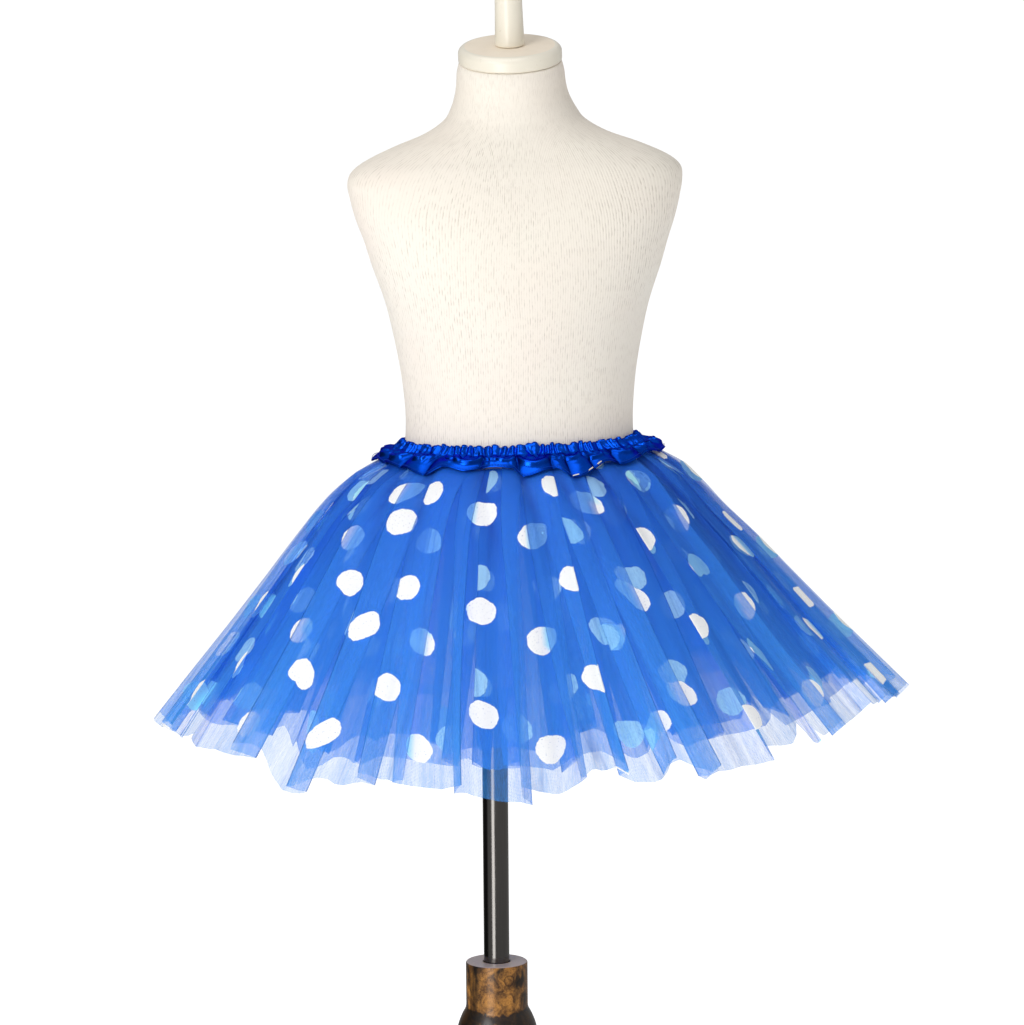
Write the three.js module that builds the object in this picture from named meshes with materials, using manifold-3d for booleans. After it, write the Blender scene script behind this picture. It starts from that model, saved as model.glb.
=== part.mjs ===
// A child's tulle skirt on a dress form. Three gathered layers of tulle hang from a satin waistband that
// grips a jersey-covered torso, which stands on a steel pole in a turned wood column with a round base.
// Millimetres, +Z up, front towards -Y, origin at the centre of the base's underside on the pole's axis.
import * as THREE from "three";
import { mergeVertices } from "three/addons/utils/BufferGeometryUtils.js";
import Module from "manifold-3d";

const wasm = await Module();
wasm.setup();

// Driving sizes of the stand
const SEAM_GAP = 0.3;
const BASE_RADIUS = 150;
const BASE_THICKNESS = 22;
const BASE_EDGE_ROUND = 7;
const COLUMN_TOP = 240;
const COLUMN_FOOT_RADIUS = 43;
const COLUMN_FOOT_HEIGHT = 8;
const COLLAR_RADIUS = 25.2;
const COLUMN_BORE_RADIUS = 11.2;
const COLUMN_BORE_BOTTOM = 40;
const POLE_RADIUS = 10.45;
const POLE_BOTTOM = 110;
const POLE_REACH_IN_FORM = 60;
const FLANGE_RADIUS = 34;
const FLANGE_THICKNESS = 3;
const FLANGE_SLEEVE_RADIUS = 15;
const FLANGE_SLEEVE_LENGTH = 18;

// Driving sizes of the torso form
const WAIST = new THREE.Vector3(20.5, -18, 670);
const TORSO_BOTTOM = 480;
const TORSO_COLUMNS = 36;
const NECK_TOP = 968;
const CAP_PITCH = THREE.MathUtils.degToRad(15.8);
const CAP_ROLL = THREE.MathUtils.degToRad(2.5);
const CAP_RADIUS = 41;
const CAP_THICKNESS = 12.4;
const FINIAL_ROOT_RADIUS = 11.8;
const FINIAL_TIP_RADIUS = 10.8;
const FINIAL_LENGTH = 52;

// Driving sizes of the skirt, along the slant from the waistband's top edge. Its walls are measured
// level, so they are about 1 mm thick square to the cloth.
const SKIRT_TILT = THREE.MathUtils.degToRad(1.35);
const WAIST_HALF_WIDTH = 91.2;
const WAIST_HALF_DEPTH = 76;
const FRONT_IS_STEEPER_BY = THREE.MathUtils.degToRad(8);
const SLANT_STEP = 2;
const FRONT_IS_SHORTER_BY = 10;
const BAND_LENGTH = 33;
const BAND_WALL = 1.6;
const BAND_GATHERS = 32;
const BAND_TURN = 0.2;
const TULLE_TUCK = 5;
const TULLE_WALL = 1.4;
const TULLE_PLEATS = 44;
const PLEAT_DEPTH_AT_SEAM = 0.8;

// The column's turned vase, from its neck down to its foot
const COLUMN_VASE = [
  { radius: 25.8, z: 201 },
  { radius: 29, z: 195 },
  { radius: 31.9, z: 187 },
  { radius: 33, z: 178 },
  { radius: 31.5, z: 158 },
  { radius: 26, z: 124 },
  { radius: 23, z: 92 },
  { radius: 25, z: 68 },
  { radius: 33, z: 46 },
  { radius: 41, z: 36 },
];

// Torso sections from the neck down. x and y are the centre's offset from the waist's centre, pitch and
// roll lean a section forwards and to the left, and square is the exponent of its outline.
const TORSO_SECTIONS = [
  { z: NECK_TOP, halfWidth: 40.5, halfDepth: 40, x: -5.2, y: -2, pitch: 15.8, roll: 2.5, square: 2 },
  { z: 961, halfWidth: 42.4, halfDepth: 41.6, x: -5, y: -1, pitch: 15, roll: 2.3, square: 2 },
  { z: 950, halfWidth: 43.5, halfDepth: 43, x: -4.4, y: 1.5, pitch: 13, roll: 1.6, square: 2 },
  { z: 941, halfWidth: 45.6, halfDepth: 45, x: -3.6, y: 4, pitch: 10, roll: 1.2, square: 2 },
  { z: 931, halfWidth: 50, halfDepth: 48, x: -2.4, y: 6, pitch: 7, roll: 1, square: 2 },
  { z: 922, halfWidth: 56.5, halfDepth: 51, x: -1.6, y: 7.5, pitch: 5, roll: 0.9, square: 2 },
  { z: 912, halfWidth: 73, halfDepth: 55, x: -0.6, y: 8, pitch: 3, roll: 0.8, square: 2 },
  { z: 903, halfWidth: 97, halfDepth: 59, x: 0.4, y: 8, pitch: 2, roll: 0.8, square: 2.1 },
  { z: 893, halfWidth: 119, halfDepth: 63, x: 0.6, y: 7.5, pitch: 1, roll: 0.8, square: 2.2 },
  { z: 884, halfWidth: 130.5, halfDepth: 67, x: -0.4, y: 7, pitch: 0, roll: 0.8, square: 2.3 },
  { z: 874, halfWidth: 133, halfDepth: 70, x: -1.6, y: 6, pitch: 0, roll: 0.8, square: 2.4 },
  { z: 862, halfWidth: 131, halfDepth: 73.5, x: -1.6, y: 5, pitch: 0, roll: 0.6, square: 2.4 },
  { z: 846, halfWidth: 127, halfDepth: 77, x: -1.6, y: 4, pitch: 0, roll: 0.4, square: 2.4 },
  { z: 827, halfWidth: 120.5, halfDepth: 80, x: -1.4, y: 3, pitch: 0, roll: 0, square: 2.3 },
  { z: 807, halfWidth: 114.5, halfDepth: 81.5, x: -1.2, y: 2, pitch: 0, roll: 0, square: 2.2 },
  { z: 779, halfWidth: 105, halfDepth: 82, x: -0.9, y: 1, pitch: 0, roll: 0, square: 2.1 },
  { z: 750, halfWidth: 98.4, halfDepth: 80, x: -0.7, y: 0, pitch: 0, roll: 0, square: 2 },
  { z: 721, halfWidth: 93.4, halfDepth: 77.5, x: -0.4, y: 0, pitch: 0, roll: 0, square: 2 },
  { z: 692, halfWidth: 90.8, halfDepth: 76, x: 0, y: 0, pitch: 0, roll: 0, square: 2 },
  {
    z: WAIST.z,
    halfWidth: WAIST_HALF_WIDTH,
    halfDepth: WAIST_HALF_DEPTH,
    x: 0,
    y: 0,
    pitch: 0,
    roll: 0,
    square: 2,
  },
  { z: 650, halfWidth: 93.8, halfDepth: 78, x: 0, y: -1, pitch: 0, roll: 0, square: 2 },
  { z: 620, halfWidth: 100.5, halfDepth: 83, x: 0, y: -2, pitch: 0, roll: 0, square: 2 },
  { z: 590, halfWidth: 106.5, halfDepth: 88, x: 0, y: 0, pitch: 0, roll: 0, square: 2 },
  { z: 560, halfWidth: 109.5, halfDepth: 91, x: 0, y: 2, pitch: 0, roll: 0, square: 2.1 },
  { z: 525, halfWidth: 108, halfDepth: 90, x: 0, y: 3, pitch: 0, roll: 0, square: 2.2 },
  { z: 496, halfWidth: 104, halfDepth: 86, x: 0, y: 3, pitch: 0, roll: 0, square: 2.2 },
  { z: 484, halfWidth: 100.5, halfDepth: 83, x: 0, y: 3, pitch: 0, roll: 0, square: 2.2 },
  { z: TORSO_BOTTOM, halfWidth: 95, halfDepth: 78, x: 0, y: 3, pitch: 0, roll: 0, square: 2.2 },
];

// The skirt's flare from the vertical at its sides, in degrees, against the distance down the slant.
// right is what the side towards +X flares beyond that, and the other side less.
const SIDE_FLARE = [
  { down: 0, degrees: 34, right: 0 },
  { down: 7, degrees: 66, right: 0 },
  { down: 20, degrees: 60, right: 0 },
  { down: 33, degrees: 53, right: -2 },
  { down: 55, degrees: 48, right: -4 },
  { down: 80, degrees: 45, right: -2 },
  { down: 105, degrees: 45, right: 3 },
  { down: 150, degrees: 41.5, right: 1.5 },
  { down: 300, degrees: 41.5, right: 1.5 },
];

// One knife pleat from trough to crest, whose return runs back steeply to the next trough
const KNIFE_PLEAT = [
  { across: 0, out: -1 },
  { across: 0.38, out: 0.25 },
  { across: 0.74, out: 1 },
];

// One gather of the satin
const SATIN_GATHER = [
  { across: 0, out: -1 },
  { across: 0.35, out: 0.6 },
  { across: 0.6, out: 0.8 },
];

// The waistband's rows: a channel ruched over elastic, then a short gathered flounce. out is how far
// the wall lies outside the smooth skirt, and wave is the height of its gathers to each side of that.
const BAND_ROWS = [
  { down: 0, out: 2.9, wave: 0.3 },
  { down: 4, out: 2, wave: 0.8 },
  { down: 9.5, out: 0.7, wave: 0.5 },
  { down: 18, out: 0.8, wave: 1.3 },
  { down: 26, out: 0.9, wave: 1.4 },
  { down: BAND_LENGTH, out: 0.8, wave: 1.2 },
];

// How the layers stack inwards from the satin. A wall takes up the first share of its level thickness
// square to the slant at the seam, and the second at the hem, where the pleats' returns are steeper.
const SATIN_INSIDE = -1.5;
const WALL_SHARE_AT_SEAM = 0.66;
const WALL_SHARE_AT_HEM = 1.1;

// The layers of tulle. turn sets each one's pleats off from the next, and depth is the pleats' height
// at the hem. Every layer but the outer one hangs a little shorter.
const TULLE_LAYERS = [
  { name: "tulle_outer", length: 304, turn: 0, depth: 7, rows: 5, colour: 0x3b86e5 },
  { name: "tulle_middle", length: 278, turn: 0.37, depth: 6.5, rows: 4, colour: 0x3b80e0 },
  { name: "tulle_inner", length: 259, turn: 0.71, depth: 6, rows: 4, colour: 0x3a7cdc },
];

// How far each stretch of the hem is cut or swings up, in turns round the waist. Below nothing it hangs
// lower.
const HEM_LIFTS = [
  { at: 0, lift: 2 },
  { at: 0.04, lift: -3 },
  { at: 0.09, lift: 6 },
  { at: 0.13, lift: 8 },
  { at: 0.17, lift: -2 },
  { at: 0.22, lift: -6 },
  { at: 0.26, lift: 3 },
  { at: 0.31, lift: -5 },
  { at: 0.35, lift: 2 },
  { at: 0.4, lift: 8 },
  { at: 0.44, lift: 3 },
  { at: 0.47, lift: -2 },
  { at: 0.5, lift: 3 },
  { at: 0.525, lift: 10 },
  { at: 0.545, lift: 6 },
  { at: 0.6, lift: 3 },
  { at: 0.614, lift: 10 },
  { at: 0.626, lift: -6 },
  { at: 0.655, lift: -5 },
  { at: 0.682, lift: 0 },
  { at: 0.705, lift: -7 },
  { at: 0.727, lift: -12 },
  { at: 0.745, lift: -8 },
  { at: 0.76, lift: 0 },
  { at: 0.784, lift: 11 },
  { at: 0.797, lift: -2 },
  { at: 0.807, lift: 4 },
  { at: 0.82, lift: -7 },
  { at: 0.84, lift: -2 },
  { at: 0.875, lift: 11 },
  { at: 0.887, lift: 5 },
  { at: 0.91, lift: 12 },
  { at: 0.945, lift: 14 },
  { at: 0.975, lift: 9 },
  { at: 1, lift: 2 },
];

// Waves in the pleats' spacing, so that no two pleats are quite alike
const PLEAT_DRIFTS = [
  { times: 3, share: 0.008, from: 1 },
  { times: 7, share: 0.004, from: 2.5 },
  { times: 11, share: 0.002, from: 0.6 },
];

// Reads a table at one place by straight lines between its rows.
function readTable(table, key, value, at) {
  const last = table.findIndex((row) => row[key] >= at);
  if (last <= 0) return last === 0 ? table[0][value] : table.at(-1)[value];
  const [from, to] = [table[last - 1], table[last]];
  const share = (at - from[key]) / (to[key] - from[key]);
  return from[value] + (to[value] - from[value]) * share;
}

// Joins rings that run counterclockwise and follow each other downwards into one closed surface.
// A wall's last ring joins its first, and a filled body gets a cap at each end.
function skin(rings, isWall) {
  const count = rings[0].length;
  const points = rings.flat();
  const index = [];
  const bands = isWall ? rings.length : rings.length - 1;
  for (let band = 0; band < bands; band++) {
    const upper = band * count;
    const lower = ((band + 1) % rings.length) * count;
    for (let j = 0; j < count; j++) {
      const k = (j + 1) % count;
      index.push(upper + j, lower + j, lower + k, upper + j, lower + k, upper + k);
    }
  }
  if (!isWall) {
    const top = centreOf(rings[0]);
    const bottom = centreOf(rings.at(-1));
    const topAt = points.push(top) - 1;
    const bottomAt = points.push(bottom) - 1;
    const lastRing = (rings.length - 1) * count;
    for (let j = 0; j < count; j++) {
      const k = (j + 1) % count;
      index.push(topAt, j, k);
      index.push(bottomAt, lastRing + k, lastRing + j);
    }
  }
  const geometry = new THREE.BufferGeometry().setFromPoints(points);
  geometry.setIndex(index);
  geometry.computeVertexNormals();
  return geometry;
}

function centreOf(ring) {
  return ring.reduce((sum, p) => sum.add(p), new THREE.Vector3()).divideScalar(ring.length);
}

// Turns a profile of [radius, height] pairs about the vertical axis.
function turned(profile, segments) {
  const points = profile.map(([radius, height]) => new THREE.Vector2(radius, height));
  return new THREE.LatheGeometry(points, segments).rotateX(Math.PI / 2);
}

// Cuts one closed geometry out of another.
function cut(body, tool) {
  const [from, away] = [body, tool].map((geometry) => {
    const bare = geometry.clone();
    bare.deleteAttribute("normal");
    bare.deleteAttribute("uv");
    const merged = mergeVertices(bare, 1e-4);
    const vertProperties = Float32Array.from(merged.attributes.position.array);
    const triVerts = Uint32Array.from(merged.index.array);
    return new wasm.Manifold(new wasm.Mesh({ numProp: 3, vertProperties, triVerts }));
  });
  const mesh = from.subtract(away).getMesh();
  const geometry = new THREE.BufferGeometry();
  geometry.setAttribute("position", new THREE.BufferAttribute(mesh.vertProperties, 3));
  geometry.setIndex(new THREE.BufferAttribute(mesh.triVerts, 1));
  geometry.computeVertexNormals();
  return geometry;
}

function mesh(name, geometry, colour, roughness, metalness) {
  const material = new THREE.MeshStandardMaterial({ color: colour, roughness, metalness });
  const made = new THREE.Mesh(geometry, material);
  made.name = name;
  return made;
}

// The torso is a loft of rounded sections, with a blind bore that takes the pole.
function torsoRing({ z, halfWidth, halfDepth, x, y, pitch, roll, square }) {
  const forwards = Math.tan(THREE.MathUtils.degToRad(pitch));
  const leftwards = Math.tan(THREE.MathUtils.degToRad(roll));
  return Array.from({ length: TORSO_COLUMNS }, (_, j) => {
    const angle = (j / TORSO_COLUMNS) * 2 * Math.PI;
    const [c, s] = [Math.cos(angle), Math.sin(angle)];
    const across = halfWidth * Math.sign(c) * Math.abs(c) ** (2 / square);
    const along = halfDepth * Math.sign(s) * Math.abs(s) ** (2 / square);
    const height = z + along * forwards + across * leftwards;
    return new THREE.Vector3(WAIST.x + x + across, WAIST.y + y + along, height);
  });
}

function torso() {
  const body = skin(TORSO_SECTIONS.map(torsoRing), false);
  const depth = POLE_REACH_IN_FORM + SEAM_GAP;
  const radius = POLE_RADIUS + SEAM_GAP;
  const bore = new THREE.CylinderGeometry(radius, radius, 2 * depth, 24).rotateX(Math.PI / 2);
  bore.translate(0, 0, TORSO_BOTTOM);
  return mesh("form_torso", cut(body, bore), 0xf6f1e4, 0.9, 0);
}

// The neck's cap lies on the slanted top of the neck, and the knob stands square on the cap.
function neckCap() {
  const r = CAP_RADIUS;
  const h = CAP_THICKNESS;
  const profile = [[0, 0], [r - 1.5, 0], [r, 1.5], [r, h - 3.5], [r - 1, h - 1.2], [r - 3.2, h], [0, h]];
  return mesh("neck_cap", turned(profile, 36), 0xf1ead9, 0.35, 0);
}

function finial() {
  const [root, tip, length] = [FINIAL_ROOT_RADIUS, FINIAL_TIP_RADIUS, FINIAL_LENGTH];
  const profile = [
    [0, 0],
    [root, 0],
    [tip, length * 0.86],
    [tip * 0.82, length * 0.95],
    [tip * 0.45, length * 0.99],
    [0, length],
  ];
  return mesh("finial", turned(profile, 24), 0xf4eee0, 0.3, 0);
}

function neckFittings() {
  const neck = TORSO_SECTIONS[0];
  const seat = new THREE.Group();
  seat.position.set(WAIST.x + neck.x, WAIST.y + neck.y, NECK_TOP);
  const cap = neckCap();
  const knob = finial();
  const capTurn = new THREE.Group();
  capTurn.rotation.set(CAP_PITCH, -CAP_ROLL, 0);
  cap.position.z = SEAM_GAP;
  knob.position.z = CAP_THICKNESS + 2 * SEAM_GAP;
  capTurn.add(cap, knob);
  seat.add(capTurn);
  return seat;
}

// The stand
function baseDisc() {
  const [r, h, e] = [BASE_RADIUS, BASE_THICKNESS, BASE_EDGE_ROUND];
  const profile = [[0, 0], [r - 2, 0], [r, 2], [r, h - e], [r - 0.3 * e, h - 0.3 * e], [r - e, h], [0, h]];
  return mesh("base_disc", turned(profile, 40), 0x4a3216, 0.4, 0);
}

function woodColumn() {
  const foot = BASE_THICKNESS + SEAM_GAP;
  const collar = COLLAR_RADIUS;
  const bore = COLUMN_BORE_RADIUS;
  const curve = new THREE.SplineCurve(COLUMN_VASE.map(({ radius, z }) => new THREE.Vector2(radius, z)));
  const vase = curve.getPoints(16).map(({ x, y }) => [x, y]);
  const profile = [
    [0, foot],
    [COLUMN_FOOT_RADIUS, foot],
    [COLUMN_FOOT_RADIUS, foot + COLUMN_FOOT_HEIGHT],
    ...vase.reverse(),
    [collar, COLUMN_VASE[0].z + 3],
    [collar, COLUMN_TOP - 1.5],
    [collar - 1.2, COLUMN_TOP],
    [bore + 0.8, COLUMN_TOP],
    [bore, COLUMN_TOP - 1],
    [bore, COLUMN_BORE_BOTTOM],
    [0, COLUMN_BORE_BOTTOM],
  ];
  return mesh("wood_column", turned(profile, 24), 0x6b4722, 0.3, 0);
}

function pole() {
  const top = TORSO_BOTTOM + POLE_REACH_IN_FORM;
  const r = POLE_RADIUS;
  const profile = [[0, POLE_BOTTOM], [r - 1, POLE_BOTTOM], [r, POLE_BOTTOM + 1], [r, top], [0, top]];
  return mesh("pole", turned(profile, 24), 0x4a4643, 0.25, 1);
}

function formFlange() {
  const bore = POLE_RADIUS + SEAM_GAP;
  const top = TORSO_BOTTOM - SEAM_GAP;
  const under = top - FLANGE_THICKNESS;
  const foot = under - FLANGE_SLEEVE_LENGTH;
  const sleeve = FLANGE_SLEEVE_RADIUS;
  const rim = FLANGE_RADIUS;
  const profile = [
    [bore, foot],
    [sleeve, foot],
    [sleeve, under],
    [rim, under],
    [rim, top],
    [bore, top],
    [bore, foot],
  ];
  return mesh("form_flange", turned(profile, 24), 0x3d3a38, 0.4, 1);
}

// Where a point of the smooth skirt lies, before any pleat. across turns round the waist in whole
// turns from the wearer's left side, and down is the distance along the slant.
function skirtPoint(across, down) {
  const angle = across * 2 * Math.PI;
  const [c, s] = [Math.cos(angle), Math.sin(angle)];
  let flare = 0;
  let outwards = 0;
  let downwards = 0;
  for (let at = 0; at < down; at += SLANT_STEP) {
    const step = Math.min(SLANT_STEP, down - at);
    const side = readTable(SIDE_FLARE, "down", "degrees", at + step / 2);
    const right = readTable(SIDE_FLARE, "down", "right", at + step / 2);
    flare = THREE.MathUtils.degToRad(side + right * c) - FRONT_IS_STEEPER_BY * s * s;
    outwards += step * Math.sin(flare);
    downwards += step * Math.cos(flare);
  }
  const halfWidth = WAIST_HALF_WIDTH + outwards;
  const halfDepth = WAIST_HALF_DEPTH + outwards;
  const point = new THREE.Vector3(halfWidth * c, halfDepth * s, -downwards);
  const outward = new THREE.Vector3(Math.cos(flare) * c, Math.cos(flare) * s, Math.sin(flare));
  return { point, outward };
}

// Places the pleats round the waist, none quite as wide as the next.
function drift(across) {
  const turn = (sum, { times, share, from }) => sum + share * Math.sin(2 * Math.PI * times * across + from);
  return PLEAT_DRIFTS.reduce(turn, across);
}

// One ring of a pleated wall. lengthAt is how far down the slant each place of the ring lies. offsetAt is
// how far the pleats' middle there lies out from the smooth skirt, and depthAt is their height.
function pleatedRing({ pleats, pleat, turn, lengthAt, offsetAt, depthAt }) {
  const ring = [];
  for (let k = 0; k < pleats; k++) {
    for (const { across, out } of pleat) {
      const place = drift((k + across + turn) / pleats);
      const down = lengthAt(place);
      const { point, outward } = skirtPoint(place, down);
      ring.push(point.addScaledVector(outward, offsetAt(down) + depthAt(down) * out));
    }
  }
  return ring;
}

// The inner side of a wall: each point moves in by the wall, square to the ring's two edges there.
function innerRing(ring, wall) {
  return ring.map((point, j) => {
    const before = ring[(j + ring.length - 1) % ring.length];
    const after = ring[(j + 1) % ring.length];
    const [a, b] = [edgeNormal(before, point), edgeNormal(point, after)];
    const mitre = a.clone().add(b).divideScalar(1 + a.dot(b));
    return new THREE.Vector3(point.x - mitre.x * wall, point.y - mitre.y * wall, point.z);
  });
}

function edgeNormal(from, to) {
  return new THREE.Vector2(to.y - from.y, from.x - to.x).normalize();
}

function clothWall(rings, wall) {
  const inside = rings.map((ring) => innerRing(ring, wall)).reverse();
  return skin([...rings, ...inside], true);
}

function waistband() {
  const rings = BAND_ROWS.map(({ down, out, wave }) =>
    pleatedRing({
      pleats: BAND_GATHERS,
      pleat: SATIN_GATHER,
      turn: BAND_TURN,
      lengthAt: () => down,
      offsetAt: () => out,
      depthAt: () => wave,
    }),
  );
  return mesh("waistband", clothWall(rings, BAND_WALL), 0x1d4abb, 0.35, 0);
}

// How far the middle of each layer's pleats lies inside the smooth skirt at its top and at the hem.
// The layers stack inwards from the satin's edge, each clear of the one outside it.
function layerOffsets() {
  let top = SATIN_INSIDE;
  let hem = 0;
  return TULLE_LAYERS.map(({ depth }) => {
    top -= PLEAT_DEPTH_AT_SEAM + SEAM_GAP;
    const here = { top, hem: hem - depth };
    top -= PLEAT_DEPTH_AT_SEAM + WALL_SHARE_AT_SEAM * TULLE_WALL;
    hem -= 2 * depth + WALL_SHARE_AT_HEM * TULLE_WALL + SEAM_GAP;
    return here;
  });
}

// The hem is cut level to the eye, so the steeper front and back are shorter, and it's uneven.
function hemLength(length, place) {
  const s = Math.sin(place * 2 * Math.PI);
  const lift = readTable(HEM_LIFTS, "at", "lift", place - Math.floor(place));
  return length - FRONT_IS_SHORTER_BY * s * s - lift;
}

// A layer starts under the satin, whose flounce covers its seam.
function tulleLayer({ name, length, turn, depth, rows, colour }, { top, hem }) {
  const start = BAND_LENGTH - TULLE_TUCK;
  const share = (down) => (down - start) / (TULLE_LAYERS[0].length - start);
  const rings = Array.from({ length: rows + 1 }, (_, row) =>
    pleatedRing({
      pleats: TULLE_PLEATS,
      pleat: KNIFE_PLEAT,
      turn,
      lengthAt: (place) => start + (hemLength(length, place) - start) * (row / rows),
      offsetAt: (down) => top + (hem - top) * share(down),
      depthAt: (down) => PLEAT_DEPTH_AT_SEAM + (depth - PLEAT_DEPTH_AT_SEAM) * share(down),
    }),
  );
  return mesh(name, clothWall(rings, TULLE_WALL), colour, 0.8, 0);
}

function skirt() {
  const group = new THREE.Group();
  group.position.copy(WAIST);
  group.rotation.y = -SKIRT_TILT;
  const offsets = layerOffsets();
  group.add(waistband(), ...TULLE_LAYERS.map((layer, i) => tulleLayer(layer, offsets[i])));
  return group;
}

const part = new THREE.Group();
part.add(baseDisc(), woodColumn(), pole(), formFlange(), torso(), neckFittings(), skirt());
export default part;
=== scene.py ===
# A child's tulle skirt on a dress form, dressed round its solids. Metres, +Z up, front towards -Y.
import math

import bpy
import numpy as np
from mathutils import Matrix, Vector


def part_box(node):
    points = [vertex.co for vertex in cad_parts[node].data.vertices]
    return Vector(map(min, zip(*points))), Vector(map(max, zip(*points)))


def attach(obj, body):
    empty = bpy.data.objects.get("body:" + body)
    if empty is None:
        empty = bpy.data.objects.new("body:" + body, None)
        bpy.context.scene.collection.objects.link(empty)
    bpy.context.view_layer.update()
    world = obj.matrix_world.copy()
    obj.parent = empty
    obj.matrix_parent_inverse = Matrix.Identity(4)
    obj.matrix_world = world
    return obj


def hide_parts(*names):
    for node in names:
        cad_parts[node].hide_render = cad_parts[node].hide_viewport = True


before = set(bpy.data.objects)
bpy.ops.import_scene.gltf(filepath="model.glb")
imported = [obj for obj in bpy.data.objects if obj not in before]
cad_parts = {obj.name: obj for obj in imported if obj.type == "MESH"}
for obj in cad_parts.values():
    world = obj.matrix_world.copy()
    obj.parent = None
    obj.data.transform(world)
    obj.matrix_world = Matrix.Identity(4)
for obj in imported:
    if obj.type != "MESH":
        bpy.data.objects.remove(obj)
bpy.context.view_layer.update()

MM = 0.001
TURN = 2 * math.pi

# Camera, fitted to the picture: its eye, where it aims, and its focal length in pixels
IMAGE_WIDTH_PX = 1024
FOCAL_PX = 3500
SENSOR_MM = 36
EYE_DISTANCE = 2.8
EYE_HEIGHT = 0.917
EYE_AZIMUTH = math.radians(-4)
AIM_RIGHT_PX = 19.2
AIM_DOWN = math.radians(6.3)
CAMERA_ROLL = math.radians(-0.45)

# Studio: the surround's light, the direction of its dark flag, the floor, and the lights with their
# places, aims, sizes and watts. A card shows in reflections alone.
SURROUND_LIGHT = 0.4
FLAG_SIDE = (-0.9, 0.42, 0.05)
FLOOR_RADIUS = 3
LIGHTS = [
    ("key", (-2.15, -2.76, 2.1), (0, 0, 0.75), (1.6, 1.6), 60),
    ("card", (-0.55, -1.07, 0.3), (0, 0, 0.3), (0.5, 1), 7),
    ("top card", (-0.3, -0.6, 2.3), (0, 0, 0.7), (1.6, 1.1), 14),
]

# Torso form: its waist, neck and sections from the neck down. A section is its height, half width, half
# depth, x and y from the waist's centre, the degrees that it leans to the front and to the side, and the
# exponent of its outline.
WAIST = Vector((20.5, -18, 670)) * MM
NECK_TOP = 968 * MM
NECK_OFFSET = Vector((-5.2, -2, 0)) * MM
TORSO_BOTTOM = 480 * MM
TORSO_COLUMNS = 144
TORSO_STEPS = 5
JERSEY_WALES = 264
TORSO_SECTIONS = [
    (968, 40.5, 40, -5.2, -2, 15.8, 2.5, 2),
    (961, 42.4, 41.6, -5, -1, 15, 2.3, 2),
    (950, 43.5, 43, -4.4, 1.5, 13, 1.6, 2),
    (941, 45.6, 45, -3.6, 4, 10, 1.2, 2),
    (931, 50, 48, -2.4, 6, 7, 1, 2),
    (922, 56.5, 51, -1.6, 7.5, 5, 0.9, 2),
    (912, 73, 55, -0.6, 8, 3, 0.8, 2),
    (903, 97, 59, 0.4, 8, 2, 0.8, 2.1),
    (893, 119, 63, 0.6, 7.5, 1, 0.8, 2.2),
    (884, 130.5, 67, -0.4, 7, 0, 0.8, 2.3),
    (874, 133, 70, -1.6, 6, 0, 0.8, 2.4),
    (862, 131, 73.5, -1.6, 5, 0, 0.6, 2.4),
    (846, 127, 77, -1.6, 4, 0, 0.4, 2.4),
    (827, 120.5, 80, -1.4, 3, 0, 0, 2.3),
    (807, 114.5, 81.5, -1.2, 2, 0, 0, 2.2),
    (779, 105, 82, -0.9, 1, 0, 0, 2.1),
    (750, 98.4, 80, -0.7, 0, 0, 0, 2),
    (721, 93.4, 77.5, -0.4, 0, 0, 0, 2),
    (692, 90.8, 76, 0, 0, 0, 0, 2),
    (670, 91.2, 76, 0, 0, 0, 0, 2),
    (650, 93.8, 78, 0, -1, 0, 0, 2),
    (620, 100.5, 83, 0, -2, 0, 0, 2),
    (590, 106.5, 88, 0, 0, 0, 0, 2),
    (560, 109.5, 91, 0, 2, 0, 0, 2.1),
    (525, 108, 90, 0, 3, 0, 0, 2.2),
    (496, 104, 86, 0, 3, 0, 0, 2.2),
    (484, 100.5, 83, 0, 3, 0, 0, 2.2),
    (480, 95, 78, 0, 3, 0, 0, 2.2),
]

# Neck fittings and stand. The knob's tip and the column's vase are (radius, height) points, the tip's as
# shares of its own sizes.
SEAM_GAP = 0.3 * MM
CAP_PITCH = math.radians(15.8)
CAP_ROLL = math.radians(2.5)
CAP_RADIUS = 41 * MM
CAP_THICKNESS = 12.4 * MM
CAP_FOOT_BEVEL = 1.2 * MM
CAP_TOP_BEVEL = 3.2 * MM
FINIAL_ROOT = 11.8 * MM
FINIAL_TIP = 10.8 * MM
FINIAL_LENGTH = 52 * MM
FINIAL_TAPER = (0.3 * MM, 6 * MM)
FINIAL_END = [(1, 0.62), (1, 0.86), (0.82, 0.95), (0.45, 0.99)]
BASE_RADIUS = 150 * MM
BASE_THICKNESS = 22 * MM
BASE_EDGE_ROUND = 7 * MM
BASE_FOOT_BEVEL = 2 * MM
COLUMN_TOP = 240 * MM
COLUMN_FOOT_RADIUS = 43 * MM
COLUMN_FOOT_HEIGHT = 8 * MM
COLLAR_RADIUS = 25.2 * MM
COLUMN_BORE_RADIUS = 10.8 * MM
COLUMN_BORE_BOTTOM = 40 * MM
COLLAR_BEVEL = 0.8 * MM
BORE_BEVEL = (0.8 * MM, 1 * MM)
COLLAR_RISE = 3 * MM
COLUMN_VASE = [(41, 36), (33, 46), (25, 68), (23, 92), (26, 124), (31.5, 158), (33, 178), (31.9, 187),
               (29, 195), (25.8, 201)]
BURL_FOOT = 203 * MM
KNOT = (0.0075, -0.0225, 0.229)
POLE_RADIUS = 10.45 * MM
FLANGE_RADIUS = 34 * MM
FLANGE_THICKNESS = 3 * MM
FLANGE_SLEEVE_RADIUS = 15 * MM
FLANGE_SLEEVE_LENGTH = 18 * MM
FLANGE_SIDES = 64

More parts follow.
